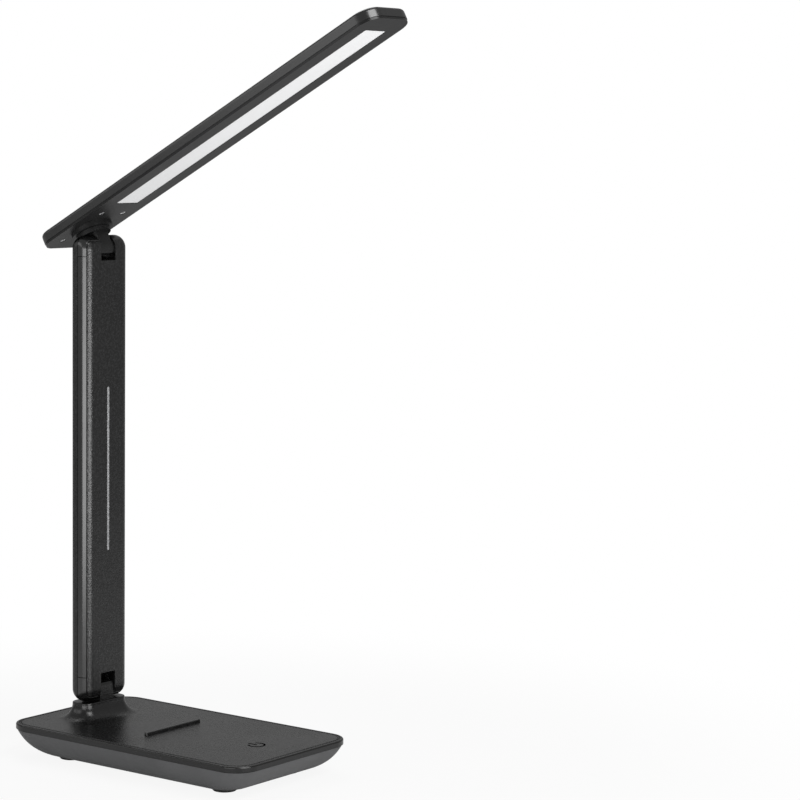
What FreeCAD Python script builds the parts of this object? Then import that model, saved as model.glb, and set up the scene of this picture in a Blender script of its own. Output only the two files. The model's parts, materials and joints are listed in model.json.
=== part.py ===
import FreeCAD, Part
import math
import os

# Folding desk lamp: a weighted base with a leather-grained cover, a hinged arm and a thin
# swivelling light bar. Sizes are in millimetres. X runs along the base to its front, Y across
# it and Z up. The pieces are drawn about the middle of the base, on the table, and are then
# moved together so that the origin lies under the middle of the whole lamp.

Vector = FreeCAD.Vector

# Fits and gaps
fit_gap = 0.05
seat_gap = 0.15
moving_gap = 0.4
seam_width = 0.4
panel_seam_width = 0.45
seam_depth = 0.5

# Base
base_length = 195.0
base_width = 110.0
base_corner = 16.0
rim_height = 3.5
rim_edge_radius = 1.0
rim_wall = 2.4
cover_thickness = 2.2
stitch_groove_inset = 2.4
stitch_groove_width = 0.8
stitch_groove_depth = 0.4
hull_height = 16.5
hull_step = 0.5
hull_side_inset = 14.0
hull_end_inset = 22.0
hull_floor_corner = 12.0
tray_wall = 2.2
lip_thickness = 1.2
lip_height = 1.1

# Feet and the screws above them
foot_diameter = 15.5
foot_height = 2.5
foot_recess = 0.8
foot_edge = 0.7
foot_from_end = 33.5
foot_from_side = 25.5
boss_radius = 5.0
base_screw_radius = 1.4
base_screw_head_radius = 2.7
base_screw_head_height = 2.0
boss_split = 4.0

# Phone stop and touch spot
rib_from_front = 102.1
rib_length = 51.3
rib_width = 2.4
rib_height = 1.8
touch_from_front = 33.1
touch_pad_diameter = 16.0
touch_pad_thickness = 1.0

# Ballast and board
ballast_thickness = 6.0
ballast_clearance = 3.5
ballast_side_gap = 4.0
board_thickness = 1.2
board_width = 22.0
board_length = 36.0
board_post_radius = 2.6
board_post_from_end = 6.0
board_post_spread = 14.0
board_screw_radius = 0.9
board_screw_head_radius = 1.8
board_screw_head_height = 1.3

# Port panel and socket
port_width = 41.0
port_top_below_rim = 1.1
port_step = 1.5
port_floor_width = 26.6
port_drop = 8.8
port_bend_radius = 2.6
port_wall = 2.0
port_depth = 12.0
socket_from_middle = 7.5
socket_below_rim = 4.0
socket_width = 8.94
socket_height = 3.16
socket_wall = 0.3
socket_length = 7.3
socket_back = 1.0
socket_recess = 0.3
tongue_plate_width = 6.7
tongue_plate_thickness = 0.7
tongue_plate_inset = 1.2

# Pedestal and hinges
arm_from_rear = 29.2
pedestal_height = 10.6
pedestal_corner = 6.0
pedestal_edge_radius = 0.7
flare_radius = 9.5
tongue_width = 12.4
eye_radius = 4.4
barrel_radius = 7.0
barrel_step = 2.9
tongue_flush = 0.1
bend_below_axis = 2.0
neck_corner = 1.5
bolt_radius = 2.0
bolt_head_radius = 3.4
bolt_head_height = 2.6
nut_across_flats = 6.6
nut_height = 3.0
nut_stand_out = 0.4
washer_radius = 4.5
washer_thickness = 1.0
pocket_cover = 3.85

# Arm
arm_width = 38.7
arm_thickness = 16.2
axis_to_axis = 281.8
arm_edge_radius = 6.0
arm_wall = 1.8
panel_depth = 1.7
slot_width = 13.0
slot_reach_rear = 4.8
lower_slot_reach = 9.8
upper_slot_reach = 7.5
lower_cap_reach = 8.1
upper_cap_reach = 4.6
cap_tab_reach = 12.0
cap_tab_margin = 2.8
end_block = 14.0
arm_screw_from_side = 5.3
arm_screw_reach = 6.4
screw_radius = 1.1
screw_head_radius = 1.85
screw_head_height = 1.5
screw_head_recess = 0.5
screw_well_radius = 2.1
screw_end_cover = 1.0
line_low = 89.0
line_length = 105.0
line_width = 2.0
line_depth = 0.4
wire_radius = 1.1

# Head
head_tilt = 28.3
head_length = 300.0
head_width = 42.5
head_thickness = 8.0
head_corner = 11.5
head_edge_radius = 2.0
head_wall = 1.8
head_roof = 1.6
swivel_to_rear = 29.2
bezel_thickness = 1.6
bezel_step = 0.4
bezel_lip_height = 1.0
bezel_lip_thickness = 1.0
window_start = 34.6
window_tip_margin = 14.7
window_width = 19.7
window_corner = 1.0
diffuser_thickness = 1.2
diffuser_overlap = 2.0
window_recess = 0.3
window_gap = 0.25
head_screw_front = 20.5
head_screw_rear = 17.7
head_screw_spread = 19.4
head_screw_boss_radius = 2.6
head_screw_sink = 0.9
guide_overlap = 1.5
guide_thickness = 2.0
reflector_thickness = 0.3
led_board_height = 3.6
led_board_thickness = 1.0
led_length = 3.5
led_height = 1.6
led_depth = 0.7
led_pitch = 9.0
rail_thickness = 1.2
clamp_rib_pitch = 44.0
clamp_rib_width = 1.4

# Swivel
flange_radius = 11.0
flange_thickness = 2.7
collar_radius = 13.5
collar_thickness = 2.7
swivel_gap = 0.2
spigot_radius = 4.0
swivel_washer_radius = 7.5
swivel_washer_thickness = 0.6
swivel_nut_radius = 6.6
swivel_nut_height = 2.0
spigot_stand_out = 0.3
wire_bore_radius = 1.4

# Levels and places worked out from the sizes above
rim_bottom = foot_height + hull_height
rim_top = rim_bottom + rim_height
tray_floor = foot_height + tray_wall
cover_ceiling = rim_top - cover_thickness
pedestal_top = rim_top + pedestal_height
arm_radius = arm_thickness / 2
hinge_x = arm_from_rear - base_length / 2
low_axis = pedestal_top + moving_gap + arm_radius
high_axis = low_axis + axis_to_axis
panel_seam = hinge_x + arm_radius - panel_depth
foot_x = base_length / 2 - foot_from_end
foot_y = base_width / 2 - foot_from_side
foot_places = [(sx * foot_x, sy * foot_y) for sx in (1, -1) for sy in (1, -1)]
boss_top = rim_bottom - boss_split
base_screw_head_bottom = foot_height + foot_recess + seat_gap
base_screw_head_top = base_screw_head_bottom + base_screw_head_height
rear_face = -base_length / 2
socket_z = rim_bottom - socket_below_rim
board_top = socket_z - socket_height / 2
board_bottom = board_top - board_thickness
board_start = rear_face + port_wall + seat_gap
board_post_x = board_start + board_length - board_post_from_end
pocket_end = arm_width / 2 - pocket_cover
bolt_shoulder = pocket_end - moving_gap - max(bolt_head_height, nut_height + nut_stand_out)
flange_bottom = arm_radius + moving_gap
collar_bottom = flange_bottom + flange_thickness + swivel_gap
underside = collar_bottom + collar_thickness
bezel_top = underside + bezel_thickness
head_top = underside + head_thickness
head_ceiling = head_top - head_roof
diffuser_top = bezel_top + diffuser_thickness
guide_top = diffuser_top + guide_thickness
reflector_top = guide_top + reflector_thickness
window_end = head_length - swivel_to_rear - window_tip_margin
window_middle = (window_start + window_end) / 2
window_length = window_end - window_start
guide_edge = window_width / 2 + guide_overlap
led_board_face = window_width / 2 + max(guide_overlap + led_depth, diffuser_overlap) + seat_gap
led_board_back = led_board_face + led_board_thickness


def block(x_span, y_span, z_span):
    """Box between two coordinates along each axis, given in either order."""
    spans = [sorted(span) for span in (x_span, y_span, z_span)]
    sizes = [high - low for low, high in spans]
    return Part.makeBox(*sizes, Vector(*[low for low, high in spans]))


def rod(radius, start, end):
    """Cylinder between two points."""
    return Part.makeCylinder(radius, (end - start).Length, start, end - start)


def ring(outer_radius, inner_radius, start, end):
    """Tube between two points."""
    return rod(outer_radius, start, end).cut(rod(inner_radius, start, end))


def rounded_wire(corners, place):
    """Closed wire through flat corners (a, b, radius), each rounded by a tangent arc."""
    flat = [Vector(a, b, 0) for a, b, radius in corners]
    trims = []
    for i, (a, b, radius) in enumerate(corners):
        back = (flat[i - 1] - flat[i]).normalize()
        ahead = (flat[(i + 1) % len(flat)] - flat[i]).normalize()
        half = back.getAngle(ahead) / 2
        inward = (back + ahead).normalize()
        middle = flat[i] + inward * (radius / math.sin(half) - radius)
        cut = radius / math.tan(half)
        trims.append((flat[i] + back * cut, middle, flat[i] + ahead * cut))
    edges = []
    for i, (start, middle, end) in enumerate(trims):
        before = trims[i - 1][2]
        if (start - before).Length > 1e-6:
            edges.append(Part.LineSegment(place(before), place(start)).toShape())
        if corners[i][2] > 0:
            edges.append(Part.Arc(place(start), place(middle), place(end)).toShape())
    return Part.Wire(edges)


def rounded_rectangle(length, width, radius, z, x=0.0):
    """Level wire of a rounded rectangle centred on the X axis."""
    a, b = length / 2, width / 2
    corners = [(-a, -b, radius), (a, -b, radius), (a, b, radius), (-a, b, radius)]
    return rounded_wire(corners, lambda p: Vector(p.x + x, p.y, z))


def plate(length, width, radius, z_low, z_high, x=0.0):
    """Level plate with rounded corners."""
    outline = Part.Face(rounded_rectangle(length, width, radius, z_low, x))
    return outline.extrude(Vector(0, 0, z_high - z_low))


def edges_at(shape, z, x_middle, x_reach, y_reach):
    """Edges that lie level at z inside a footprint."""
    found = []
    for edge in shape.Edges:
        box = edge.BoundBox
        level = abs(box.ZMin - z) < 1e-3 and abs(box.ZMax - z) < 1e-3
        inside = abs(box.Center.x - x_middle) < x_reach and abs(box.Center.y) < y_reach
        if level and inside:
            found.append(edge)
    return found


# Base

def hull(inset, floor_z, ruled):
    """Boat-shaped solid under the rim, drawn in by inset, down to a flat floor."""
    sections = []
    for down in (0, 0.5, 1):
        inward = down ** 2
        length = base_length - 2 * (inset + hull_end_inset * inward)
        width = base_width - 2 * (inset + hull_side_inset * inward)
        corner = base_corner - inset + (hull_floor_corner - base_corner) * inward
        z = rim_bottom - (rim_bottom - floor_z) * down
        sections.append(rounded_rectangle(length, width, corner, z))
    return Part.makeLoft(sections, True, ruled)


def port_outline(grow, x, with_band):
    """Upright wire of the port panel: an ogee tab, with the part of the rim above it."""
    half = port_width / 2 + grow
    shoulder = port_width / 2 - port_step + grow
    floor_half = port_floor_width / 2 + grow / 2
    floor_z = rim_bottom - port_drop - grow
    band_top = rim_top - port_top_below_rim + grow
    right = [(floor_half, floor_z, port_bend_radius), (shoulder, rim_bottom - grow, 0.0)]
    if with_band:
        right[1] = (shoulder, rim_bottom - grow, port_step / 2)
        right += [(half, rim_bottom - grow, 0.0), (half, band_top, 0.0)]
    left = [(-a, b, radius) for a, b, radius in reversed(right)]
    return rounded_wire(right + left, lambda p: Vector(x, p.x, p.y))


def port_prism(grow, x_span, with_band):
    outline = Part.Face(port_outline(grow, x_span[0], with_band))
    return outline.extrude(Vector(x_span[1] - x_span[0], 0, 0))


def base_tray():
    inside = hull(hull_step + tray_wall, tray_floor, True)
    body = hull(hull_step, foot_height, False).cut(inside)
    lip_inset = rim_wall + seat_gap
    lip_outer = plate(base_length - 2 * lip_inset, base_width - 2 * lip_inset,
                      base_corner - lip_inset, rim_bottom - lip_height, rim_bottom + lip_height)
    lip_inset += lip_thickness
    lip_inner = plate(base_length - 2 * lip_inset, base_width - 2 * lip_inset,
                      base_corner - lip_inset, rim_bottom - lip_height, rim_bottom + lip_height)
    posts = []
    holes = []
    for x, y in foot_places:
        posts.append(rod(boss_radius, Vector(x, y, foot_height), Vector(x, y, boss_top)))
        recess = rod(foot_diameter / 2 + seat_gap, Vector(x, y, 0),
                     Vector(x, y, foot_height + foot_recess))
        well = rod(base_screw_head_radius + seat_gap, Vector(x, y, 0),
                   Vector(x, y, base_screw_head_top))
        bore = rod(base_screw_radius + seat_gap, Vector(x, y, 0), Vector(x, y, rim_top))
        holes += [recess, well, bore]
    for side in (1, -1):
        foot = Vector(board_post_x, side * board_post_spread / 2, foot_height + tray_wall / 2)
        top = Vector(foot.x, foot.y, board_bottom)
        posts.append(rod(board_post_radius, foot, top))
        holes.append(rod(board_screw_radius + fit_gap, foot + Vector(0, 0, tray_wall), top))
    opening = port_prism(seat_gap, (rear_face - 1, rear_face + port_depth + 1), True)
    return body.fuse([lip_outer.cut(lip_inner)] + posts).cut(holes + [opening])


def hinge_barrel(upward):
    """Eye about the Y axis with a fuller barrel in front that ends at a step on one side."""
    half = tongue_width / 2
    ends = (Vector(0, -half, 0), Vector(0, half, 0))
    front = block((0, barrel_radius), (-half, half),
                  (-upward * barrel_radius, upward * barrel_step))
    return rod(eye_radius, *ends).fuse(rod(barrel_radius, *ends).common(front)).removeSplitter()


def hinge_tongue():
    """Moulded tongue on the pedestal: flat back, stepped eye and a neck that leans into the flare."""
    back = hinge_x - arm_radius + tongue_flush
    foot_z = rim_top + flare_radius / 3
    spread = flare_radius - math.sqrt(flare_radius ** 2 - (flare_radius * 2 / 3) ** 2)
    foot_x_rear = hinge_x - arm_radius - spread + moving_gap
    corners = [(hinge_x, foot_z), (foot_x_rear, foot_z), (back, low_axis - bend_below_axis),
               (back, low_axis + eye_radius), (hinge_x, low_axis + eye_radius)]
    points = [Vector(x, -tongue_width / 2, z) for x, z in corners]
    rear = Part.Face(Part.makePolygon(points + points[:1])).extrude(Vector(0, tongue_width, 0))
    front = hinge_barrel(1)
    front.translate(Vector(hinge_x, 0, low_axis))
    neck = block((hinge_x, hinge_x + barrel_radius), (-tongue_width / 2, tongue_width / 2),
                 (foot_z, low_axis))
    return rear.fuse([front, neck]).removeSplitter()


def phone_rib():
    x = base_length / 2 - rib_from_front
    rib = plate(rib_width, rib_length, rib_width / 2 - fit_gap, rim_top - cover_thickness / 2,
                rim_top + rib_height, x)
    return rib.makeFillet(rib_width / 4, edges_at(rib, rim_top + rib_height, x, rib_width, rib_length))


def base_cover():
    body = plate(base_length, base_width, base_corner, rim_bottom, rim_top)
    body = body.makeFillet(rim_edge_radius, edges_at(body, rim_top, 0, base_length, base_width))
    pedestal = plate(arm_thickness, arm_width, pedestal_corner, rim_top - cover_thickness / 2,
                     pedestal_top, hinge_x)
    body = body.fuse(pedestal).removeSplitter()
    reach = (arm_radius + fit_gap, arm_width / 2 + fit_gap)
    body = body.makeFillet(flare_radius, edges_at(body, rim_top, hinge_x, *reach))
    body = body.makeFillet(pedestal_edge_radius, edges_at(body, pedestal_top, hinge_x, *reach))
    cavity = plate(base_length - 2 * rim_wall, base_width - 2 * rim_wall, base_corner - rim_wall,
                   rim_bottom, cover_ceiling)
    groove_out = stitch_groove_inset
    groove_in = stitch_groove_inset + stitch_groove_width
    groove = plate(base_length - 2 * groove_out, base_width - 2 * groove_out,
                   base_corner - groove_out, rim_top - stitch_groove_depth, rim_top)
    groove = groove.cut(plate(base_length - 2 * groove_in, base_width - 2 * groove_in,
                              base_corner - groove_in, rim_top - stitch_groove_depth, rim_top))
    notch = port_prism(seat_gap, (rear_face - 1, rear_face + rim_wall + seat_gap), True)
    body = body.cut([cavity, groove, notch]).fuse([hinge_tongue(), phone_rib()])
    bosses = []
    pilots = []
    for x, y in foot_places:
        bottom = Vector(x, y, boss_top + seat_gap)
        bosses.append(rod(boss_radius, bottom, Vector(x, y, cover_ceiling)))
        pilots.append(rod(base_screw_radius + fit_gap, bottom, Vector(x, y, cover_ceiling)))
    eye = rod(bolt_radius + fit_gap, Vector(hinge_x, -tongue_width, low_axis),
              Vector(hinge_x, tongue_width, low_axis))
    return body.fuse(bosses).cut(pilots + [eye])


def port_panel():
    face = port_prism(0, (rear_face, rear_face + port_wall), True)
    cup = port_prism(0, (rear_face, rear_face + port_depth), False)
    hollow = port_prism(-port_wall, (rear_face + port_wall, rear_face + port_depth), False)
    headroom = block((rear_face + port_wall, rear_face + port_depth), (-port_width, port_width),
                     (rim_bottom - port_wall, rim_top))
    body = face.fuse(cup.cut([hollow, headroom]))
    return body.cut(socket_prism(seat_gap, rear_face - 1, port_wall + 2))


def socket_prism(grow, x, depth):
    """Flat-oval prism of the socket's section, grown all round."""
    half = socket_width / 2 + grow
    high = socket_height / 2 + grow
    corners = [(-half, -high, high - 0.01), (half, -high, high - 0.01),
               (half, high, high - 0.01), (-half, high, high - 0.01)]
    wire = rounded_wire(corners, lambda p: Vector(x, p.x - socket_from_middle, p.y + socket_z))
    return Part.Face(wire).extrude(Vector(depth, 0, 0))


def usb_c_shell():
    mouth = rear_face + socket_recess
    inner = socket_prism(-socket_wall, mouth, socket_length - socket_back)
    return socket_prism(0, mouth, socket_length).cut(inner)


def usb_c_tongue():
    mouth = rear_face + socket_recess
    middle = -socket_from_middle
    return block((mouth + tongue_plate_inset, mouth + socket_length - socket_back),
                 (middle - tongue_plate_width / 2, middle + tongue_plate_width / 2),
                 (socket_z - tongue_plate_thickness / 2, socket_z + tongue_plate_thickness / 2))


def control_board():
    board = block((board_start, board_start + board_length), (-board_width / 2, board_width / 2),
                  (board_bottom, board_top))
    holes = []
    for side in (1, -1):
        low = Vector(board_post_x, side * board_post_spread / 2, board_bottom)
        holes.append(rod(board_screw_radius + seat_gap, low, low + Vector(0, 0, board_thickness)))
    return board.cut(holes)


def board_screws():
    screws = []
    for side in (1, -1):
        seat = Vector(board_post_x, side * board_post_spread / 2, board_top)
        tip = Vector(seat.x, seat.y, tray_floor + tray_wall)
        head = rod(board_screw_head_radius, seat, seat + Vector(0, 0, board_screw_head_height))
        screws.append(head.fuse(rod(board_screw_radius, tip, seat)).removeSplitter())
    return screws


def touch_pad():
    x = base_length / 2 - touch_from_front
    top = Vector(x, 0, cover_ceiling)
    return rod(touch_pad_diameter / 2, top - Vector(0, 0, touch_pad_thickness), top)


def ballast_plate():
    length = 2 * (foot_x - boss_radius - ballast_clearance)
    width = base_width - 2 * (hull_side_inset + hull_step + tray_wall + ballast_side_gap)
    return plate(length, width, hull_floor_corner / 2, tray_floor, tray_floor + ballast_thickness)


def foot(x, y):
    pad = rod(foot_diameter / 2, Vector(x, y, 0), Vector(x, y, foot_height + foot_recess))
    lower_edges = [edge for edge in pad.Edges if edge.BoundBox.ZMax < foot_edge]
    return pad.makeChamfer(foot_edge, lower_edges)


def base_screws():
    screws = []
    for x, y in foot_places:
        low = Vector(x, y, base_screw_head_bottom)
        seat = Vector(x, y, base_screw_head_top)
        tip = Vector(x, y, cover_ceiling - seat_gap)
        head = rod(base_screw_head_radius, low, seat)
        screws.append(head.fuse(rod(base_screw_radius, seat, tip)).removeSplitter())
    return screws


# Arm

def arm_blank(inset):
    """Arm outline drawn in by inset: ends round about both hinges and softly rounded sides."""
    radius = arm_radius - inset
    half = arm_width / 2 - inset

    def side(x, z):
        return Vector(hinge_x + x, -half, z)

    edges = [Part.LineSegment(side(radius, low_axis), side(radius, high_axis)).toShape(),
             Part.Arc(side(radius, high_axis), side(0, high_axis + radius),
                      side(-radius, high_axis)).toShape(),
             Part.LineSegment(side(-radius, high_axis), side(-radius, low_axis)).toShape(),
             Part.Arc(side(-radius, low_axis), side(0, low_axis - radius),
                      side(radius, low_axis)).toShape()]
    bar = Part.Face(Part.Wire(edges)).extrude(Vector(0, 2 * half, 0))
    rims = [edge for edge in bar.Edges if edge.BoundBox.YLength < 1e-3]
    return bar.makeFillet(arm_edge_radius - inset, rims)


def arm_span(x_span, z_span):
    """Slab across the arm's whole width."""
    return block(x_span, (-arm_width, arm_width), z_span)


def arm_cavity():
    """Hollow between the two end blocks."""
    middle = arm_span((hinge_x - arm_radius, panel_seam),
                      (low_axis + end_block, high_axis - end_block))
    return arm_blank(arm_wall).common(middle)


def seam_ring(x_span, z_span):
    """Shallow groove round the arm's edge, between two levels."""
    return arm_span(x_span, z_span).cut(arm_blank(seam_depth))


def hinge_ends():
    """Axis height of each hinge and the direction from it into the arm."""
    return ((low_axis, 1), (high_axis, -1))


def slot_reach(inward):
    """Reach of a slot's front past its axis, at the lower or the upper end."""
    return lower_slot_reach if inward > 0 else upper_slot_reach


def cap_reach(inward):
    """Reach of a cap's sides past its axis, at the lower or the upper end."""
    return lower_cap_reach if inward > 0 else upper_cap_reach


def hinge_openings(axis, inward):
    """Everything cut from one end of the arm for its hinge and screws."""
    out = axis - inward * 2 * arm_radius
    half_slot = slot_width / 2
    cuts = [block((hinge_x - arm_thickness, hinge_x), (-half_slot, half_slot),
                  (out, axis + inward * slot_reach_rear)),
            block((hinge_x, hinge_x + arm_thickness), (-half_slot, half_slot),
                  (out, axis + inward * slot_reach(inward))),
            rod(barrel_radius + moving_gap, Vector(hinge_x, -half_slot, axis),
                Vector(hinge_x, half_slot, axis)),
            rod(bolt_radius + fit_gap, Vector(hinge_x, -bolt_shoulder, axis),
                Vector(hinge_x, bolt_shoulder, axis)),
            rod(washer_radius + seat_gap,
                Vector(hinge_x, -tongue_width / 2 - washer_thickness - seat_gap, axis),
                Vector(hinge_x, tongue_width / 2 + washer_thickness + seat_gap, axis))]
    for side in (1, -1):
        cuts.append(rod(bolt_head_radius + moving_gap, Vector(hinge_x, side * bolt_shoulder, axis),
                        Vector(hinge_x, side * pocket_end, axis)))
    for head, seat, tip in arm_screw_lines(axis, inward):
        cuts.append(rod(screw_well_radius, head - Vector(screw_head_height, 0, 0), seat))
        cuts.append(rod(screw_radius + fit_gap, seat, tip))
    wire_x = hinge_x - arm_radius + arm_wall + fit_gap + wire_radius
    cuts.append(rod(wire_radius + seat_gap, Vector(wire_x, 0, axis),
                    Vector(wire_x, 0, axis + inward * (end_block + fit_gap))))
    return cuts


def arm_screw_lines(axis, inward):
    """Head, seat and tip points of the two screws in the arm's back at one end."""
    lines = []
    for side in (1, -1):
        y = side * (arm_width / 2 - arm_screw_from_side)
        z = axis + inward * arm_screw_reach
        head = Vector(hinge_x - arm_radius + screw_head_recess, y, z)
        seat = head + Vector(screw_head_height, 0, 0)
        lines.append((head, seat, Vector(panel_seam - screw_end_cover, y, z)))
    return lines


def all_hinge_openings():
    return [cut for axis, inward in hinge_ends() for cut in hinge_openings(axis, inward)]


def arm_whole_height():
    return (low_axis - arm_thickness, high_axis + arm_thickness)


def arm_rear_shell():
    half = arm_blank(0).common(arm_span((hinge_x - arm_thickness, hinge_x), arm_whole_height()))
    parting = seam_ring((hinge_x - seam_width, hinge_x), arm_whole_height())
    return half.cut([arm_cavity(), parting] + all_hinge_openings())


def cap_region(axis, inward, grow):
    """Space of one end cap: the sides up to its seam and a tab under the front panel."""
    x_span = (hinge_x, panel_seam)
    out = axis - inward * arm_thickness
    sides = arm_span(x_span, (out, axis + inward * (cap_reach(inward) + grow)))
    half_tab = arm_width / 2 - cap_tab_margin + grow
    tab = block(x_span, (-half_tab, half_tab), (out, axis + inward * (cap_tab_reach + grow)))
    return sides.fuse(tab).removeSplitter()


def panel_groove():
    return seam_ring((panel_seam - panel_seam_width, panel_seam), arm_whole_height())


def arm_front_frame():
    layer = arm_blank(0).common(arm_span((hinge_x, panel_seam), arm_whole_height()))
    ends = [cap_region(axis, inward, seam_width) for axis, inward in hinge_ends()]
    return layer.cut([arm_cavity(), panel_groove()] + ends + all_hinge_openings())


def arm_cap(axis, inward):
    cap = arm_blank(0).common(cap_region(axis, inward, 0))
    return cap.cut([panel_groove()] + hinge_openings(axis, inward))


def arm_front_panel():
    skin = arm_blank(0).common(arm_span((panel_seam, hinge_x + arm_thickness), arm_whole_height()))
    front = hinge_x + arm_radius
    low = low_axis + line_low
    corners = [(-line_width / 2, low, line_width / 2 - fit_gap),
               (line_width / 2, low, line_width / 2 - fit_gap),
               (line_width / 2, low + line_length, line_width / 2 - fit_gap),
               (-line_width / 2, low + line_length, line_width / 2 - fit_gap)]
    outline = rounded_wire(corners, lambda p: Vector(front - line_depth, p.x, p.y))
    line = Part.Face(outline).extrude(Vector(2 * line_depth, 0, 0))
    return skin.cut([line] + all_hinge_openings())


def arm_screws(axis, inward):
    screws = []
    for head, seat, tip in arm_screw_lines(axis, inward):
        cap = rod(screw_head_radius, head, seat)
        screws.append(cap.fuse(rod(screw_radius, seat, tip - Vector(fit_gap, 0, 0))).removeSplitter())
    return screws


def arm_wire():
    x = hinge_x - arm_radius + arm_wall + fit_gap + wire_radius
    clear = barrel_radius + moving_gap
    return rod(wire_radius, Vector(x, 0, low_axis + clear), Vector(x, 0, high_axis - clear))


def hinge_bolt(axis):
    shoulder = Vector(hinge_x, -bolt_shoulder - fit_gap, axis)
    end = Vector(hinge_x, bolt_shoulder + fit_gap + nut_height + nut_stand_out, axis)
    head = rod(bolt_head_radius, shoulder - Vector(0, bolt_head_height, 0), shoulder)
    return head.fuse(rod(bolt_radius, shoulder, end)).removeSplitter()


def hinge_nut(axis):
    radius = nut_across_flats / math.sqrt(3)
    y = bolt_shoulder + fit_gap
    corners = []
    for i in range(6):
        turn = math.radians(60 * i)
        corners.append(Vector(hinge_x + radius * math.cos(turn), y, axis + radius * math.sin(turn)))
    hexagon = Part.Face(Part.makePolygon(corners + corners[:1])).extrude(Vector(0, nut_height, 0))
    return hexagon.cut(rod(bolt_radius + fit_gap, Vector(hinge_x, y, axis),
                           Vector(hinge_x, y + nut_height, axis)))


def hinge_washers(axis):
    washers = []
    for side in (1, -1):
        inner = side * (tongue_width / 2 + fit_gap)
        outer = inner + side * washer_thickness
        washers.append(ring(washer_radius, bolt_radius + fit_gap, Vector(hinge_x, inner, axis),
                            Vector(hinge_x, outer, axis)))
    return washers


# Head, drawn level about the upper hinge axis: X towards the tip and Z out of the light bar's top

def tilted(shape):
    """Turns a level head piece up to its resting tilt and moves it to the upper hinge."""
    placed = shape.copy()
    placed.rotate(Vector(0, 0, 0), Vector(0, 1, 0), -head_tilt)
    placed.translate(Vector(hinge_x, 0, high_axis))
    return placed


def head_plate(inset, z_low, z_high):
    """Plate with the light bar's outline drawn in by inset."""
    middle = head_length / 2 - swivel_to_rear
    return plate(head_length - 2 * inset, head_width - 2 * inset, head_corner - inset,
                 z_low, z_high, middle)


def up(z):
    return Vector(0, 0, z)


def head_knuckle():
    eye = hinge_barrel(-1)
    eye.rotate(Vector(0, 0, 0), Vector(0, 1, 0), head_tilt)
    neck = plate(eye_radius + barrel_radius, tongue_width, neck_corner, 0, flange_bottom,
                 (barrel_radius - eye_radius) / 2)
    flange = rod(flange_radius, up(flange_bottom), up(flange_bottom + flange_thickness))
    spigot_top = (bezel_top + 2 * fit_gap + swivel_washer_thickness + swivel_nut_height
                  + spigot_stand_out)
    spigot = rod(spigot_radius, up(flange_bottom), up(spigot_top))
    turn = (flange_bottom + bolt_radius) / 2
    holes = [rod(bolt_radius + fit_gap, Vector(0, -tongue_width, 0), Vector(0, tongue_width, 0)),
             rod(wire_bore_radius, up(turn), up(spigot_top)),
             rod(wire_bore_radius, up(turn), Vector(-2 * eye_radius, 0, turn))]
    return eye.fuse([neck, flange, spigot]).removeSplitter().cut(holes)


def swivel_washer():
    low = bezel_top + fit_gap
    return ring(swivel_washer_radius, spigot_radius + fit_gap, up(low),
                up(low + swivel_washer_thickness))


def swivel_nut():
    low = bezel_top + 2 * fit_gap + swivel_washer_thickness
    return ring(swivel_nut_radius, spigot_radius + fit_gap, up(low), up(low + swivel_nut_height))


def swivel_collar():
    return ring(collar_radius, spigot_radius + fit_gap, up(collar_bottom), up(underside))


def head_screw_places():
    return [(x, side * head_screw_spread / 2)
            for x in (head_screw_front, -head_screw_rear) for side in (1, -1)]


def window(grow, z_low, z_high):
    """Prism of the light window, grown all round."""
    return plate(window_length + 2 * grow, window_width + 2 * grow, window_corner + grow / 2,
                 z_low, z_high, window_middle)


def head_bezel():
    skin = head_plate(bezel_step, underside, bezel_top)
    lip_inset = head_wall + seat_gap
    lip = head_plate(lip_inset, bezel_top - bezel_thickness / 2, bezel_top + bezel_lip_height)
    lip = lip.cut(head_plate(lip_inset + bezel_lip_thickness, underside, head_top))
    holes = [window(0, underside - 1, head_top),
             rod(spigot_radius + moving_gap, up(underside - 1), up(head_top))]
    for x, y in head_screw_places():
        low = Vector(x, y, underside)
        holes.append(rod(screw_well_radius, low, low + up(head_screw_sink)))
        holes.append(rod(screw_radius + seat_gap, low, low + up(bezel_thickness)))
    return skin.fuse(lip).cut(holes)


def head_top_shell():
    body = head_plate(0, bezel_top, head_top)
    body = body.makeFillet(head_edge_radius, edges_at(body, head_top, 0, head_length, head_width))
    body = body.cut(head_plate(head_wall, bezel_top, head_ceiling))
    posts = []
    pilots = []
    for x, y in head_screw_places():
        low = Vector(x, y, bezel_top)
        high = Vector(x, y, head_ceiling)
        posts.append(rod(head_screw_boss_radius, low, high + up(head_roof / 2)))
        pilots.append(rod(screw_radius + fit_gap, low, high))
    return body.fuse(posts + clamp_ribs() + [led_rail()]).cut(pilots)


def clamp_ribs():
    """Cross ribs under the roof that hold the light guide down on the diffuser."""
    count = int((window_length - clamp_rib_width) / clamp_rib_pitch) + 1
    ribs = []
    for i in range(count):
        x = window_middle + (i - (count - 1) / 2) * clamp_rib_pitch
        ribs.append(block((x - clamp_rib_width / 2, x + clamp_rib_width / 2),
                          (-guide_edge, guide_edge), (reflector_top, head_ceiling + head_roof / 2)))
    return ribs


def led_rail():
    """Long rib that backs the strip of lamps."""
    return block((window_start, window_end), (led_board_back, led_board_back + rail_thickness),
                 (guide_top, head_ceiling + head_roof / 2))


def diffuser():
    """A rim held above the bezel and a raised field that fills the window."""
    rim = window(diffuser_overlap, bezel_top, diffuser_top)
    field = window(-window_gap, underside + window_recess, diffuser_top)
    return rim.fuse(field).removeSplitter()


def light_guide():
    return window(guide_overlap, diffuser_top, guide_top)


def reflector_sheet():
    return window(guide_overlap, guide_top, reflector_top)


def led_board():
    return block((window_start, window_end), (led_board_face, led_board_back),
                 (bezel_top, bezel_top + led_board_height))


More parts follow.
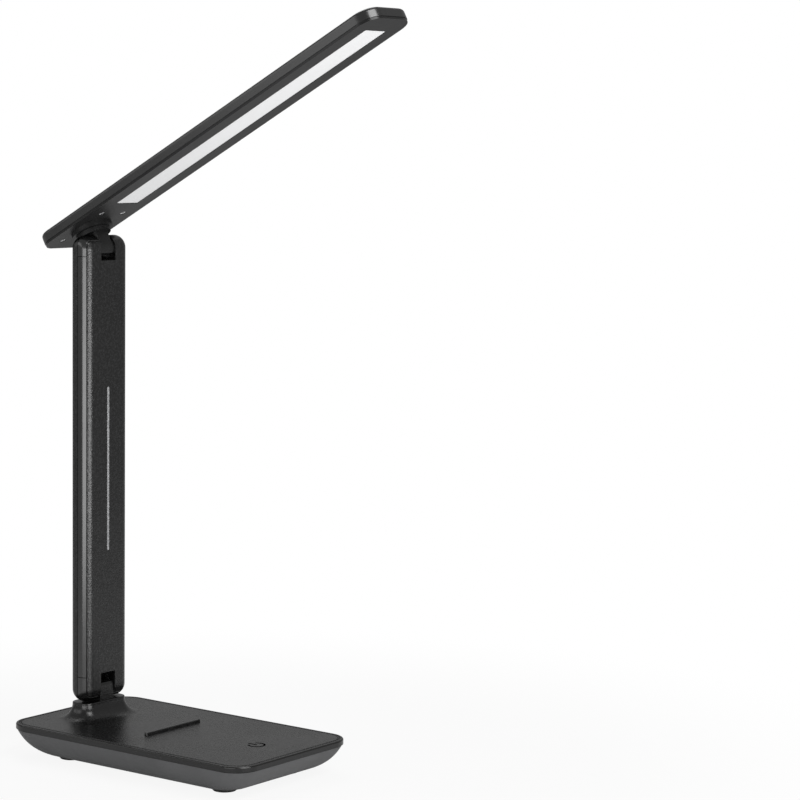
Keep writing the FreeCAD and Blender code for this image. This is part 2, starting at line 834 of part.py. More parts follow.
def led_chips():
    count = int((window_length - led_length) / led_pitch) + 1
    z = (diffuser_top + guide_top) / 2
    chips = []
    for i in range(count):
        x = window_middle + (i - (count - 1) / 2) * led_pitch
        chips.append(block((x - led_length / 2, x + led_length / 2),
                           (led_board_face - led_depth, led_board_face),
                           (z - led_height / 2, z + led_height / 2)))
    return chips


def head_screws():
    screws = []
    for x, y in head_screw_places():
        seat = Vector(x, y, underside + head_screw_sink)
        low = Vector(x, y, underside + head_screw_sink / 3)
        head = rod(screw_head_radius, low, seat)
        tip = Vector(x, y, head_ceiling - seat_gap)
        screws.append(head.fuse(rod(screw_radius, seat, tip)).removeSplitter())
    return screws


# Assembly

def base_pieces():
    pieces = {"base_tray": base_tray(), "base_cover": base_cover(), "port_panel": port_panel(),
              "usb_c_shell": usb_c_shell(), "usb_c_tongue": usb_c_tongue(),
              "control_board": control_board(), "board_screws": board_screws(),
              "touch_pad": touch_pad(), "ballast_plate": ballast_plate(),
              "base_screws": base_screws()}
    names = ("foot_front_left", "foot_front_right", "foot_rear_left", "foot_rear_right")
    for name, (x, y) in zip(names, foot_places):
        pieces[name] = foot(x, y)
    return pieces


def arm_pieces():
    pieces = {"arm_rear_shell": arm_rear_shell(), "arm_front_frame": arm_front_frame(),
              "arm_front_panel": arm_front_panel(), "arm_wire": arm_wire()}
    for name, (axis, inward) in zip(("lower", "upper"), hinge_ends()):
        pieces[f"arm_{name}_cap"] = arm_cap(axis, inward)
        pieces[f"arm_{name}_screws"] = arm_screws(axis, inward)
        pieces[f"{name}_hinge_bolt"] = hinge_bolt(axis)
        pieces[f"{name}_hinge_nut"] = hinge_nut(axis)
        pieces[f"{name}_hinge_washers"] = hinge_washers(axis)
    return pieces


def head_pieces():
    pieces = {"head_knuckle": head_knuckle(), "swivel_washer": swivel_washer(),
              "swivel_nut": swivel_nut(), "swivel_collar": swivel_collar(),
              "head_bezel": head_bezel(), "head_top_shell": head_top_shell(),
              "diffuser": diffuser(), "light_guide": light_guide(),
              "reflector_sheet": reflector_sheet(), "led_board": led_board(),
              "led_chips": led_chips(), "head_screws": head_screws()}
    placed = {}
    for name, piece in pieces.items():
        if isinstance(piece, list):
            placed[name] = [tilted(solid) for solid in piece]
        else:
            placed[name] = tilted(piece)
    return placed


def gathered(piece):
    """One shape for a node: a lone solid, or a group of separate solids."""
    if isinstance(piece, list):
        return Part.makeCompound([solid for shape in piece for solid in shape.Solids])
    if len(piece.Solids) == 1:
        return piece.Solids[0]
    return Part.makeCompound(piece.Solids)


def main():
    pieces = {**base_pieces(), **arm_pieces(), **head_pieces()}
    shapes = {name: gathered(piece) for name, piece in pieces.items()}
    boxes = [shape.optimalBoundingBox() for shape in shapes.values()]
    middle = (min(box.XMin for box in boxes) + max(box.XMax for box in boxes)) / 2
    os.makedirs("parts", exist_ok=True)
    for name, shape in shapes.items():
        shape.translate(Vector(-middle, 0, 0))
        shape.exportStep(f"parts/{name}.step")
        print(f"{name}: {len(shape.Solids)} solids, {shape.Volume / 1000:.3f} cm3, "
              f"valid {shape.isValid()}")
    print(f"lower hinge axis at x {hinge_x - middle:.4f}, z {low_axis:.4f}")
    print(f"upper hinge axis at x {hinge_x - middle:.4f}, z {high_axis:.4f}")
    print(f"swivel axis leans back {head_tilt} degrees from upright")
    for x, y in foot_places:
        print(f"foot at x {x - middle:.4f}, y {y:.4f}")
    print(f"socket mouth at x {rear_face + socket_recess - middle:.4f}, "
          f"y {-socket_from_middle:.4f}, z {socket_z:.4f}")


main()
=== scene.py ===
import json
import math
import bmesh
import bpy
from mathutils import Matrix, Vector


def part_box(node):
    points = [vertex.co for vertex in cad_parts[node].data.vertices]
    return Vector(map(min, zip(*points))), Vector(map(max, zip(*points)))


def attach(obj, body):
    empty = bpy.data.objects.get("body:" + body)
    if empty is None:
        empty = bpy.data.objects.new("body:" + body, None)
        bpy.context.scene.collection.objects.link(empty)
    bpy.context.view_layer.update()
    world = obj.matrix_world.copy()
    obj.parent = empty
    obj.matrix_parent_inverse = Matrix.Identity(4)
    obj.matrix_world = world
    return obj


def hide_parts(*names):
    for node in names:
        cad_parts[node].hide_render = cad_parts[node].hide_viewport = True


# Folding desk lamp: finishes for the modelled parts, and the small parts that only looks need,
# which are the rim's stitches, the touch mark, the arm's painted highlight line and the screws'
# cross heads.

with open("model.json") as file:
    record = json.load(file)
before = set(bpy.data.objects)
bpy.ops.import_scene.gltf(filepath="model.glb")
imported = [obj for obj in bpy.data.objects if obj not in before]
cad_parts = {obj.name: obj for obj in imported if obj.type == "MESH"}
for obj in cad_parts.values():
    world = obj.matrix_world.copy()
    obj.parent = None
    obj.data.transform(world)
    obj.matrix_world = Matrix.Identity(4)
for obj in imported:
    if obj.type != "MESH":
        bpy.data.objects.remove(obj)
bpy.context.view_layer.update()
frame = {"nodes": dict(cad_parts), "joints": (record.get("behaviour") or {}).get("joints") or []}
nodes = frame["nodes"]
joints = {joint["name"]: joint for joint in frame["joints"]}
MM = 0.001

# Places read from the model
low_hinge = Vector(joints["arm_fold"]["pos_m"])
high_hinge = Vector(joints["head_tilt"]["pos_m"])
swivel_up = Vector(joints["head_swivel"]["axis"]).normalized()
head_along = Vector((swivel_up.z, 0, -swivel_up.x))
cover_low, cover_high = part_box("base_cover")
panel_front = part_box("arm_front_panel")[1].x
pad_low, pad_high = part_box("touch_pad")

# Sizes of the model that its frame doesn't hold
cover_wall = 2.2 * MM
rim_height = 3.5 * MM
rim_corner = 16.0 * MM
axis_to_bar = 14.1 * MM
stitch_inset = 2.8 * MM

rim_top = pad_high.z + cover_wall
rim_bottom = rim_top - rim_height
bar_underside = high_hinge.dot(swivel_up) + axis_to_bar


# Shader arithmetic

class Wire:
    """A shader socket that takes part in sums and can add nodes to its tree."""

    def __init__(self, socket):
        self.socket = socket
        self.tree = socket.id_data

    def node(self, kind, settings=None, sockets=None, out=0):
        """Adds a node of a type with its settings, then the values or links of its sockets."""
        made = self.tree.nodes.new(kind)
        for name, value in (settings or {}).items():
            setattr(made, name, value)
        for name, value in (sockets or {}).items():
            if isinstance(value, Wire):
                self.tree.links.new(value.socket, made.inputs[name])
            else:
                made.inputs[name].default_value = value
        return Wire(made.outputs[out]) if len(made.outputs) else None

    def math(self, operation, *others):
        """Applies an operation to this value and others."""
        sockets = {i: value for i, value in enumerate((self, *others))}
        return self.node("ShaderNodeMath", {"operation": operation}, sockets)

    def __add__(self, other):
        return self.math("ADD", other)

    def __mul__(self, other):
        return self.math("MULTIPLY", other)

    def __sub__(self, other):
        return self.math("SUBTRACT", other)

    def __rsub__(self, other):
        return (self * -1) + other

    __radd__ = __add__
    __rmul__ = __mul__

    def within(self, low, high):
        """Runs from 0 at low to 1 at high, clamped and smooth."""
        return self.node("ShaderNodeMapRange", {"interpolation_type": "SMOOTHSTEP"},
                         {"Value": self, "From Min": low, "From Max": high})

    def along(self, direction):
        """Distance of a point along a direction."""
        return self.node("ShaderNodeVectorMath", {"operation": "DOT_PRODUCT"},
                         {0: self, 1: tuple(direction)}, out="Value")

    def noise(self, size, detail=2.0, out=0):
        """Noise with features of about a size in metres."""
        return self.node("ShaderNodeTexNoise", {},
                         {"Vector": self, "Scale": 1 / size, "Detail": detail}, out)

    def cells(self, size, feature):
        """Cell pattern of about a size in metres."""
        return self.node("ShaderNodeTexVoronoi", {"feature": feature},
                         {"Vector": self, "Scale": 1 / size}, "Distance")

    def blend(self, first, second):
        """Colour between two, by this value."""
        return self.node("ShaderNodeMix", {"data_type": "RGBA"},
                         {"Factor": self, 6: first, 7: second}, out=2)

    def bump(self, depth, strength=1.0):
        """Surface relief of this height, in metres."""
        return self.node("ShaderNodeBump", {}, {"Height": self, "Distance": depth,
                                                "Strength": strength})


def grey(value, tint=0.0):
    """Near-neutral colour, a little bluer with tint."""
    return (value * (1 - tint), value, value * (1 + 2 * tint), 1.0)


def finish(name, paint):
    """Material whose shader sockets come from paint, given the object's coordinates."""
    material = bpy.data.materials.new(name)
    material.use_nodes = True
    material.node_tree.nodes.clear()
    place = Wire(material.node_tree.nodes.new("ShaderNodeTexCoord").outputs["Object"])
    shader = place.node("ShaderNodeBsdfPrincipled", {}, paint(place))
    place.node("ShaderNodeOutputMaterial", {}, {"Surface": shader})
    return material


# Finishes

def leather_relief(place):
    """Pebbled hide: soft pebbles parted by fine creases that wander."""
    wander_size, wander_reach = 1.5 * MM, 1.1 * MM
    crease_size, pebble_size, pore_size = 1.7 * MM, 0.65 * MM, 0.25 * MM
    wander = place.noise(wander_size, 2.0, "Color")
    moved = place.node("ShaderNodeVectorMath", {"operation": "MULTIPLY_ADD"},
                       {0: wander, 1: (wander_reach,) * 3, 2: place})
    crease = moved.cells(crease_size, "DISTANCE_TO_EDGE").within(0.0, 0.3)
    pebble = moved.cells(pebble_size, "F1").within(0.75, 0.1)
    pore = place.noise(pore_size, 1.0)
    return crease * 0.62 + pebble * 0.3 + pore * 0.12


def leather(place, grained=1.0, depth=0.075 * MM, dullness=0.05):
    """Leather grain where grained is 1, plain smooth moulding where it is 0."""
    relief = leather_relief(place) * grained
    drift = place.noise(38 * MM, 3.0).within(0.35, 0.7)
    mottle = place.noise(1.7 * MM, 2.0).within(0.38, 0.62) * grained
    tone = (relief * 0.6 + mottle * 0.6).within(0.3, 1.15)
    worn = (relief * 0.5 + mottle * 0.6) * dullness
    rough = 0.2 + (dullness * 2 - worn) * grained + drift * 0.04
    return {"Base Color": tone.blend(grey(0.0003, 0.01), grey(0.014, 0.015)), "Roughness": rough,
            "Specular IOR Level": 0.62, "Normal": relief.bump(depth, 1.0)}


def sewn_groove(place):
    """1 along the sewn line round the cover, a rounded rectangle, and 0 away from it."""
    full, none = 0.8 * MM, 1.2 * MM
    middle, half = (cover_low + cover_high) / 2, (cover_high - cover_low) / 2
    past_x = (place.along((1, 0, 0)) - middle.x).math("ABSOLUTE") - (half.x - rim_corner)
    past_y = (place.along((0, 1, 0)) - middle.y).math("ABSOLUTE") - (half.y - rim_corner)
    round_x, round_y = past_x.math("MAXIMUM", 0.0), past_y.math("MAXIMUM", 0.0)
    corner = (round_x * round_x + round_y * round_y).math("SQRT")
    past_edge = corner + past_x.math("MAXIMUM", past_y).math("MINIMUM", 0.0) - rim_corner
    return (past_edge + stitch_inset).math("ABSOLUTE").within(none, full)


def cover_leather(place):
    """Grain over the cover's top, fainter on the pedestal and round the rim's side, with painted
    shade as a dull dark line in the groove where the cover is sewn."""
    height = place.along((0, 0, 1))
    top = height.within(rim_top - 0.4 * MM, rim_top - 0.1 * MM)
    pedestal = height.within(rim_top + 0.3 * MM, rim_top + 3 * MM)
    top_grain, pedestal_loss, rim_grain = 0.9, 0.4, 0.1
    grained = top * (top_grain - pedestal * pedestal_loss) + rim_grain
    made = leather(place, grained, depth=0.08 * MM, dullness=0.03)
    # painted shade: the sewn groove's colour is darkened as the groove's shadow, and its roughness
    # is raised
    shaded_groove = sewn_groove(place) * top * (1 - pedestal)
    made["Base Color"] = shaded_groove.blend(made["Base Color"], grey(0.001))
    made["Roughness"] = made["Roughness"] + shaded_groove * 0.6
    return made


def arm_back_leather(place):
    """Grain down the arm's back, with plain rounded ends."""
    height = place.along((0, 0, 1))
    past_axis, edge = 4.1 * MM, 0.2 * MM
    low_end, high_end = low_hinge.z - past_axis, high_hinge.z + past_axis
    return leather(place, height.within(low_end - edge, low_end)
                   * height.within(high_end + edge, high_end))


def smooth_black(place):
    """Semi-gloss moulding with the faintest texture."""
    texture = place.noise(0.35 * MM, 2.0)
    scuff = place.noise(14 * MM, 4.0).within(0.4, 0.75)
    color = scuff.blend(grey(0.003, 0.01), grey(0.005, 0.01))
    return {"Base Color": color, "Roughness": 0.22 + scuff * 0.02 + texture * 0.02,
            "Specular IOR Level": 1.0, "Normal": texture.bump(0.01 * MM, 0.5)}


def satin_black(place):
    """Fine spark-eroded face, smoother on the light bar's sides than on its underside."""
    spark = place.noise(0.45 * MM, 3.0)
    drift = place.noise(26 * MM, 3.0).within(0.35, 0.7)
    sides = place.along(swivel_up).within(bar_underside, bar_underside + 0.2 * MM)
    tone = spark.within(0.35, 0.65) * 0.7 + drift * 0.3
    rough = 0.42 + drift * 0.05 - sides * 0.18
    return {"Base Color": tone.blend(grey(0.003, 0.01), grey(0.011, 0.01)), "Roughness": rough,
            "Specular IOR Level": 0.42, "Normal": spark.bump(0.03 * MM, 0.6)}


def satin_grey(place):
    """Dark grey moulding, with painted shade as a black line under the cover's rim, where the gap
    to the cover is shaded.
    """
    spark = place.noise(0.3 * MM, 3.0)
    drift = place.noise(40 * MM, 3.0).within(0.35, 0.7)
    # painted shade: a thin band of the tray just under the rim is darkened to black, as the gap's
    # shadow
    painted_gap_shade = place.along((0, 0, 1)).within(rim_bottom - 0.7 * MM, rim_bottom - 0.5 * MM)
    tone = (drift * 0.5 + spark * 0.5) * (1 - painted_gap_shade)
    color = painted_gap_shade.blend(tone.blend(grey(0.082, 0.01), grey(0.126, 0.01)), grey(0.004))
    return {"Base Color": color, "Roughness": 0.46 + drift * 0.05 + spark * 0.05,
            "Specular IOR Level": 0.34, "Normal": spark.bump(0.03 * MM, 0.6)}


def rubber(place):
    speck = place.noise(0.5 * MM, 3.0)
    return {"Base Color": speck.blend(grey(0.012), grey(0.022)), "Roughness": 0.68 + speck * 0.15,
            "Specular IOR Level": 0.42, "Normal": speck.bump(0.05 * MM, 0.6)}


def bright_steel(place):
    brushed = place.noise(0.4 * MM, 3.0)
    color = brushed.blend(grey(0.74, 0.004), grey(0.9, 0.004))
    return {"Base Color": color, "Metallic": 0.8, "Roughness": 0.44 + brushed * 0.12,
            "Normal": brushed.bump(0.01 * MM, 0.4)}


def plate_steel(place):
    scale = place.noise(3 * MM, 5.0)
    return {"Base Color": scale.blend(grey(0.16), grey(0.3)), "Metallic": 0.9,
            "Roughness": 0.42 + scale * 0.25, "Normal": scale.bump(0.05 * MM, 0.5)}


def circuit_board(place):
    weave = place.node("ShaderNodeTexWave", {"wave_type": "BANDS"},
                       {"Vector": place, "Scale": 400.0, "Distortion": 2.0}, "Fac")
    blotch = place.noise(2 * MM, 3.0)
    color = (weave * 0.3 + blotch * 0.7).blend((0.012, 0.10, 0.05, 1), (0.02, 0.17, 0.08, 1))
    return {"Base Color": color, "Roughness": 0.32 + blotch * 0.16,
            "Normal": weave.bump(0.01 * MM, 0.4)}


def black_insulator(place):
    speck = place.noise(0.3 * MM, 2.0)
    return {"Base Color": speck.blend(grey(0.010), grey(0.020)), "Roughness": 0.45 + speck * 0.15,
            "Normal": speck.bump(0.02 * MM, 0.5)}


def nylon(place):
    cloud = place.noise(1.5 * MM, 3.0)
    return {"Base Color": cloud.blend(grey(0.024), grey(0.036)), "Roughness": 0.5 + cloud * 0.15,
            "Normal": cloud.bump(0.02 * MM, 0.5)}


def opal(place):
    """White diffuser: a faint cloud in it and a fine matt skin."""
    cloud = place.noise(45 * MM, 2.0)
    skin = place.noise(0.3 * MM, 2.0)
    color = cloud.blend(grey(0.76, 0.003), grey(0.81, 0.003))
    return {"Base Color": color, "Roughness": 0.36 + skin * 0.12,
            "Normal": skin.bump(0.015 * MM, 0.5)}


def clear_acrylic(place):
    dots = place.cells(1.8 * MM, "F1").within(0.45, 0.3)
    color = dots.blend(grey(0.74, 0.01), grey(0.92, 0.0))
    return {"Base Color": color, "Roughness": 0.1 + dots * 0.35,
            "Normal": dots.bump(0.03 * MM, 0.5)}


def white_film(place):
    cloud = place.noise(6 * MM, 3.0)
    return {"Base Color": cloud.blend(grey(0.84), grey(0.92)), "Roughness": 0.4 + cloud * 0.2,
            "Normal": cloud.bump(0.02 * MM, 0.4)}


def led_phosphor(place):
    grain = place.noise(0.25 * MM, 2.0)
    return {"Base Color": grain.blend((0.82, 0.62, 0.16, 1), (0.92, 0.78, 0.30, 1)),
            "Roughness": 0.35 + grain * 0.2, "Normal": grain.bump(0.02 * MM, 0.5)}


def thread(place):
    """Waxed sewing thread with a twisted lay."""
    lay = place.noise(0.25 * MM, 2.0)
    return {"Base Color": lay.blend(grey(0.05, 0.01), grey(0.11, 0.01)),
            "Roughness": 0.5 + lay * 0.15, "Normal": lay.bump(0.06 * MM, 0.8)}


def painted_highlight_line(place):
    """Painted highlight: a silver-grey line with the panel's pebble in it, standing for the light
    that the groove's wall catches.
    """
    relief = leather_relief(place)
    return {"Base Color": relief.within(0.2, 0.9).blend(grey(0.22, 0.01), grey(0.4, 0.01)),
            "Roughness": 0.45 + relief * 0.1, "Normal": relief.bump(0.05 * MM, 0.6)}


def printed_mark(place):
    speck = place.noise(0.4 * MM, 2.0)
    return {"Base Color": speck.blend(grey(0.002, 0.01), grey(0.004, 0.01)),
            "Roughness": 0.7 + speck * 0.14, "Specular IOR Level": 0.0,
            "Normal": speck.bump(0.02 * MM, 0.5)}


finishes = {made.__name__: finish(made.__name__, made) for made in (
    leather, cover_leather, arm_back_leather, smooth_black, satin_black, satin_grey, rubber,
    bright_steel, plate_steel, circuit_board, black_insulator, nylon, opal, clear_acrylic,
    white_film, led_phosphor, thread, painted_highlight_line, printed_mark)}

dressed = {
    "leather": ["arm_front_panel"],
    "cover_leather": ["base_cover"],
    "arm_back_leather": ["arm_rear_shell"],
    "smooth_black": ["arm_front_frame", "arm_lower_cap", "arm_upper_cap", "head_top_shell"],
    "satin_black": ["port_panel", "head_bezel", "head_knuckle", "swivel_collar"],
    "satin_grey": ["base_tray"],
    "rubber": ["foot_front_left", "foot_front_right", "foot_rear_left", "foot_rear_right"],
    "bright_steel": ["usb_c_shell", "board_screws", "base_screws", "arm_lower_screws",
                     "arm_upper_screws", "lower_hinge_bolt", "lower_hinge_nut", "upper_hinge_bolt",
                     "upper_hinge_nut", "swivel_washer", "swivel_nut", "head_screws"],
    "plate_steel": ["ballast_plate"],
    "circuit_board": ["control_board", "touch_pad", "led_board"],
    "black_insulator": ["usb_c_tongue", "arm_wire"],
    "nylon": ["lower_hinge_washers", "upper_hinge_washers"],
    "opal": ["diffuser"],
    "clear_acrylic": ["light_guide"],
    "white_film": ["reflector_sheet"],
    "led_phosphor": ["led_chips"],
}
for name, members in dressed.items():
    for member in members:
        nodes[member].data.materials.clear()
        nodes[member].data.materials.append(finishes[name])


# Small parts

def piece(name, shape, material, body):
    """Turns a finished bmesh into a part that rides on a body."""
    mesh = bpy.data.meshes.new(name)
    shape.to_mesh(mesh)
    shape.free()
    mesh.materials.append(finishes[material])
    made = bpy.data.objects.new(name, mesh)
    bpy.context.scene.collection.objects.link(made)
    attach(made, body)
    return made


def bar(length, width, height, edge, segments=1):
    """Bar with softened edges, lying along X with its top at z = 0."""
    shape = bmesh.new()
    bmesh.ops.create_cube(shape, size=1)
    bmesh.ops.scale(shape, vec=(length, width, height), verts=shape.verts)
    bmesh.ops.translate(shape, vec=(0, 0, -height / 2), verts=shape.verts)
    bmesh.ops.bevel(shape, geom=shape.edges[:], offset=edge, affect="EDGES", segments=segments,
                    profile=0.5, material=-1)
    return shape


def rim_path(inset):
    """Straight runs and corners round the rim, as start, direction, length and turning radius."""
    half_x = (cover_high.x - cover_low.x) / 2 - inset
    half_y = (cover_high.y - cover_low.y) / 2 - inset
    middle = (cover_low + cover_high) / 2
    radius = rim_corner - inset
    straights = [2 * (half_x - radius), 2 * (half_y - radius)] * 2
    spot = Vector((middle.x - half_x + radius, middle.y - half_y))
    heading = 0.0
    runs = []
    for straight in straights:
        runs.append((spot.copy(), heading, straight, 0.0))
        spot += Vector((math.cos(heading), math.sin(heading))) * straight
        runs.append((spot.copy(), heading, radius * math.pi / 2, radius))
        turned = heading + math.pi / 2
        spot += (Vector((math.sin(turned), -math.cos(turned)))
                 - Vector((math.sin(heading), -math.cos(heading)))) * radius
        heading = turned
    return runs


def rim_stitches():
    """Sewn line in the cover's groove, one short thread after another."""
    pitch, sink = 2.25 * MM, 0.02 * MM
    length, width, thickness, edge = 1.75 * MM, 0.62 * MM, 0.42 * MM, 0.17 * MM
    slant = math.radians(4)
    sewn = bmesh.new()
    template = bar(length, width, thickness, edge)
    mesh = bpy.data.meshes.new("stitch")
    template.to_mesh(mesh)
    template.free()
    runs = rim_path(stitch_inset)
    whole = sum(run[2] for run in runs)
    count = round(whole / pitch)
    for i in range(count):
        left = (i + 0.5) * whole / count
        for spot, heading, run_length, radius in runs:
            if left <= run_length:
                break
            left -= run_length
        turn = left / radius if radius else 0.0
        if radius:
            center = spot + Vector((-math.sin(heading), math.cos(heading))) * radius
            at = center + Vector((math.sin(heading + turn), -math.cos(heading + turn))) * radius
        else:
            at = spot + Vector((math.cos(heading), math.sin(heading))) * left
        before = len(sewn.verts)
        sewn.from_mesh(mesh)
        new = sewn.verts[before:]
        place = (Matrix.Translation((at.x, at.y, rim_top - sink))
                 @ Matrix.Rotation(heading + turn + slant, 4, "Z"))
        bmesh.ops.transform(sewn, matrix=place, verts=new)
    bpy.data.meshes.remove(mesh)
    return piece("rim_stitches", sewn, "thread", "base")


def touch_mark():
    """Printed power sign: an open ring with a short bar in its gap."""
    middle = Vector(((pad_low.x + pad_high.x) / 2, (pad_low.y + pad_high.y) / 2, rim_top))
    mark = bmesh.new()
    stroke, outer, thickness = 1.3 * MM, 5.6 * MM, 0.05 * MM
    gap, ring_steps = math.radians(76), 56
    stem_length, stem_edge = 6.4 * MM, 0.012 * MM
    corners = [mark.verts.new((-outer + dx, 0, dz)) for dx, dz in
               ((0, 0), (stroke, 0), (stroke, thickness), (0, thickness))]
    face = mark.faces.new(corners)
    bmesh.ops.rotate(mark, cent=(0, 0, 0), matrix=Matrix.Rotation(gap / 2, 3, "Z"),
                     verts=mark.verts)
    bmesh.ops.spin(mark, geom=[face, *face.edges, *face.verts], cent=(0, 0, 0), axis=(0, 0, 1),
                   angle=math.tau - gap, steps=ring_steps)
    stem = bar(stem_length, stroke, thickness, stem_edge)
    bmesh.ops.translate(stem, vec=(-stem_length / 2, 0, thickness), verts=stem.verts)
    mesh = bpy.data.meshes.new("stem")
    stem.to_mesh(mesh)
    stem.free()
    mark.from_mesh(mesh)
    bpy.data.meshes.remove(mesh)
    bmesh.ops.translate(mark, vec=middle, verts=mark.verts)
    bmesh.ops.recalc_face_normals(mark, faces=mark.faces)
    return piece("touch_mark", mark, "printed_mark", "base")


def groove_highlight_strip():
    """Strip set in the real groove of the arm's front panel, painted pale as the groove's
    highlight.
    """
    groove_start, groove_length = low_hinge.z + 89 * MM, 105 * MM
    end_gap, width, depth, edge, sink = 0.05 * MM, 1.9 * MM, 0.36 * MM, 0.05 * MM, 0.03 * MM
    strip = bar(groove_length - 2 * end_gap, width, depth, edge)
    upright = Matrix(((0, 0, 1), (0, 1, 0), (-1, 0, 0))).to_4x4()
    place = Matrix.Translation((panel_front - sink, 0, groove_start + groove_length / 2))
    bmesh.ops.transform(strip, matrix=place @ upright, verts=strip.verts)
    bmesh.ops.recalc_face_normals(strip, faces=strip.faces)
    return piece("groove_highlight_strip", strip, "painted_highlight_line", "arm")


def cross_screw(radius, head_height, shank_radius, shank_length):
    """Pan-head screw with a cross recess, its head towards +Z and its seat at z = 0."""
    screw = bmesh.new()
    cells, ring = 5, 20
    cross_reach, flat_reach = radius * 0.56, radius * 0.9
    recess, chamfer, taper = head_height * 0.62, head_height * 0.18, 0.82
    bmesh.ops.create_grid(screw, x_segments=cells, y_segments=cells, size=cross_reach)
    arm = cross_reach / cells
    cross = [face for face in screw.faces
             if min(abs(face.calc_center_median().x), abs(face.calc_center_median().y)) < arm]
    square = [edge for edge in screw.edges if edge.is_boundary]
    made = bmesh.ops.create_circle(screw, segments=ring, radius=flat_reach,
                                   matrix=Matrix.Rotation(math.pi / 4, 4, "Z"))
    round_edges = list({edge for vert in made["verts"] for edge in vert.link_edges})
    bmesh.ops.bridge_loops(screw, edges=square + round_edges)
    bmesh.ops.translate(screw, vec=(0, 0, head_height), verts=screw.verts)
    sunk = bmesh.ops.extrude_face_region(screw, geom=cross)
    bmesh.ops.delete(screw, geom=cross, context="FACES")
    floor = [item for item in sunk["geom"] if isinstance(item, bmesh.types.BMVert)]
    bmesh.ops.translate(screw, vec=(0, 0, -recess), verts=floor)
    bmesh.ops.scale(screw, vec=(taper, taper, 1), verts=floor)
    rim = [edge for edge in screw.edges if edge.is_boundary]
    for grow, drop in ((radius / flat_reach, chamfer), (1.0, head_height - chamfer),
                       (shank_radius / radius, 0.0), (1.0, shank_length)):
        step = bmesh.ops.extrude_edge_only(screw, edges=rim)
        verts = [item for item in step["geom"] if isinstance(item, bmesh.types.BMVert)]
        rim = [item for item in step["geom"] if isinstance(item, bmesh.types.BMEdge)]
        bmesh.ops.scale(screw, vec=(grow, grow, 1), verts=verts)
        bmesh.ops.translate(screw, vec=(0, 0, -drop), verts=verts)
    bmesh.ops.contextual_create(screw, geom=rim)
    bmesh.ops.recalc_face_normals(screw, faces=screw.faces)
    return screw


def screw_row(name, node, places, outward, turn, radius, head_height, shank_radius, shank_length,
              body):
    """Cross-head screws at several seats, each turned further, for the model's plain ones."""
    turn_step = 37
    mesh = bpy.data.meshes.new("screw")
    screw = cross_screw(radius, head_height, shank_radius, shank_length)
    screw.to_mesh(mesh)
    screw.free()
    row = bmesh.new()
    facing = outward.to_track_quat("Z", "Y").to_matrix().to_4x4()
    for i, seat in enumerate(places):
        before = len(row.verts)
        row.from_mesh(mesh)
        spun = Matrix.Rotation(math.radians(turn + turn_step * i), 4, "Z")
        bmesh.ops.transform(row, matrix=Matrix.Translation(seat) @ facing @ spun,
                            verts=row.verts[before:])
    bpy.data.meshes.remove(mesh)
    made = piece(name, row, "bright_steel", body)
    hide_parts(node)
    return made


def arm_screw_heads(node, name):
    """Two screws in the arm's back, at the places of a node's plain ones."""
    head_height, shank_radius, first_turn = 1.5 * MM, 1.1 * MM, 20
    low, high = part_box(node)
    radius = (high.z - low.z) / 2
    height = (low.z + high.z) / 2
    seat_x = low.x + head_height
    spread = high.y - radius
    places = [Vector((seat_x, side * spread, height)) for side in (1, -1)]
    return screw_row(name, node, places, Vector((-1, 0, 0)), first_turn, radius, head_height,
                     shank_radius, high.x - seat_x, "arm")


def head_screw_heads():
    """Four screws in the light bar's underside, two either side of the swivel."""
    ahead, behind, aside, seat_depth = 20.5 * MM, -17.7 * MM, 9.7 * MM, 0.9 * MM
    radius, head_height, shank_radius, shank_length = 1.85 * MM, 0.6 * MM, 1.1 * MM, 5.2 * MM
    first_turn = 35
    middle = high_hinge + swivel_up * (axis_to_bar + seat_depth)
    places = [middle + head_along * along + Vector((0, side * aside, 0))
              for along in (ahead, behind) for side in (1, -1)]
    return screw_row("head_screw_heads", "head_screws", places, -swivel_up, first_turn, radius,
                     head_height, shank_radius, shank_length, "head")


rim_stitches()
touch_mark()
groove_highlight_strip()
arm_screw_heads("arm_lower_screws", "arm_lower_screw_heads")
arm_screw_heads("arm_upper_screws", "arm_upper_screw_heads")
head_screw_heads()


# Stage, lights and camera

def seen_directly(tree):
    """1 for rays from the camera and through glass, less for reflections, 0 for other light."""
    reflected = 0.15
    path = tree.nodes.new("ShaderNodeLightPath").outputs
    ray = Wire(path["Is Camera Ray"])
    return ray.math("MAXIMUM", Wire(path["Is Glossy Ray"]) * reflected).math(
        "MAXIMUM", Wire(path["Is Transmission Ray"]))


def floor():
    """Pale disc that takes the shadow near the lamp and fades to white away from it."""
    radius, drop = 0.62, 0.1 * MM
    shadow_end, white_start, near_glow = 0.2, 0.5, 0.9
    ground = bmesh.new()
    bmesh.ops.create_circle(ground, cap_ends=True, segments=96, radius=radius)
    bmesh.ops.translate(ground, vec=(0, 0, -drop), verts=ground.verts)
    mesh = bpy.data.meshes.new("floor")
    ground.to_mesh(mesh)
    ground.free()
    material = bpy.data.materials.new("pale_floor")
    material.use_nodes = True
    tree = material.node_tree
    tree.nodes.clear()
    seen = seen_directly(tree)
    matt = seen.node("ShaderNodeBsdfDiffuse", {}, {"Color": (0.86, 0.86, 0.86, 1)})
    glow = seen.node("ShaderNodeEmission", {}, {"Color": (1, 1, 1, 1), "Strength": 1.0})
    place = Wire(tree.nodes.new("ShaderNodeTexCoord").outputs["Object"])
    away = place.node("ShaderNodeVectorMath", {"operation": "LENGTH"}, {0: place}, "Value")
    white = away.within(shadow_end, white_start) * (1 - near_glow) + near_glow
    both = seen.node("ShaderNodeMixShader", {}, {0: seen * white, 1: matt, 2: glow})
    seen.node("ShaderNodeOutputMaterial", {}, {"Surface": both})
    mesh.materials.append(material)
    ground_object = bpy.data.objects.new("floor", mesh)
    bpy.context.scene.collection.objects.link(ground_object)


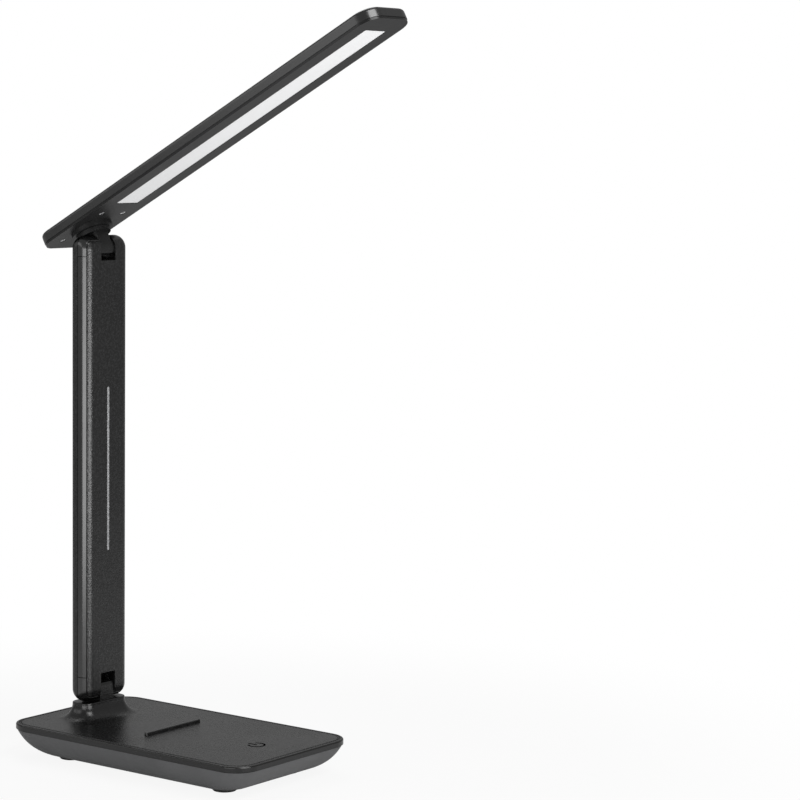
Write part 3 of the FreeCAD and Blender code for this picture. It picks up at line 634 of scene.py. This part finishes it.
def studio():
    """White surroundings that light the lamp only dimly."""
    ambient = 0.22
    world = bpy.data.worlds.new("studio")
    bpy.context.scene.world = world
    world.use_nodes = True
    tree = world.node_tree
    tree.nodes.clear()
    seen = seen_directly(tree)
    strength = seen * (1 - ambient) + ambient
    sky = seen.node("ShaderNodeBackground", {}, {"Color": (1, 1, 1, 1), "Strength": strength})
    seen.node("ShaderNodeOutputWorld", {}, {"Surface": sky})


def softbox(name, azimuth, height, distance, size, power, aim):
    """Rectangular lamp at a bearing, facing a point."""
    lamp = bpy.data.lights.new(name, "AREA")
    lamp.shape = "RECTANGLE"
    lamp.size, lamp.size_y = size
    lamp.energy = power
    made = bpy.data.objects.new(name, lamp)
    turn = math.radians(azimuth)
    made.location = (distance * math.cos(turn), distance * math.sin(turn), height)
    made.rotation_euler = (made.location - Vector(aim)).to_track_quat("Z", "Y").to_euler()
    bpy.context.scene.collection.objects.link(made)


def camera():
    """Camera at the photograph's place, turned by its yaw, dip and roll."""
    spot = (1.054923, -1.2247, 0.401771)
    yaw, dip, roll = (math.radians(angle) for angle in (36.715, 5.906, 0.721))
    focal_pixels, picture_pixels, sensor = 2633.721, 800, 36
    ahead = Vector((-math.sin(yaw) * math.cos(dip), math.cos(yaw) * math.cos(dip), -math.sin(dip)))
    level = Vector((math.cos(yaw), math.sin(yaw), 0))
    upward = level.cross(ahead)
    right = level * math.cos(roll) + upward * math.sin(roll)
    upward = upward * math.cos(roll) - level * math.sin(roll)
    lens = bpy.data.cameras.new("camera")
    lens.sensor_width = sensor
    lens.lens = sensor * focal_pixels / picture_pixels
    lens.clip_end = 100
    made = bpy.data.objects.new("camera", lens)
    turn = Matrix((right, upward, -ahead)).transposed()
    made.matrix_world = Matrix.Translation(spot) @ turn.to_4x4()
    bpy.context.scene.collection.objects.link(made)
    bpy.context.scene.camera = made


floor()
studio()
softbox("left_box", azimuth=-80, height=-0.2, distance=1.5, size=(1.3, 1.1),
        power=16, aim=(0, 0, -0.2))
softbox("right_box", azimuth=-12, height=-0.2, distance=1.5, size=(1.05, 1.1),
        power=24, aim=(0, 0, -0.2))
softbox("high_box", azimuth=-10, height=1.45, distance=1.15, size=(1.2, 0.6),
        power=12, aim=(0, 0, 0.3))
softbox("side_box", azimuth=-130, height=0.75, distance=1.5, size=(0.9, 0.6),
        power=1.8, aim=(0, 0, 0.75))
softbox("top_box", azimuth=140, height=1.5, distance=0.8, size=(0.9, 0.9),
        power=5, aim=(0, 0, 0.1))
camera()
bpy.context.scene.view_settings.view_transform = "Standard"
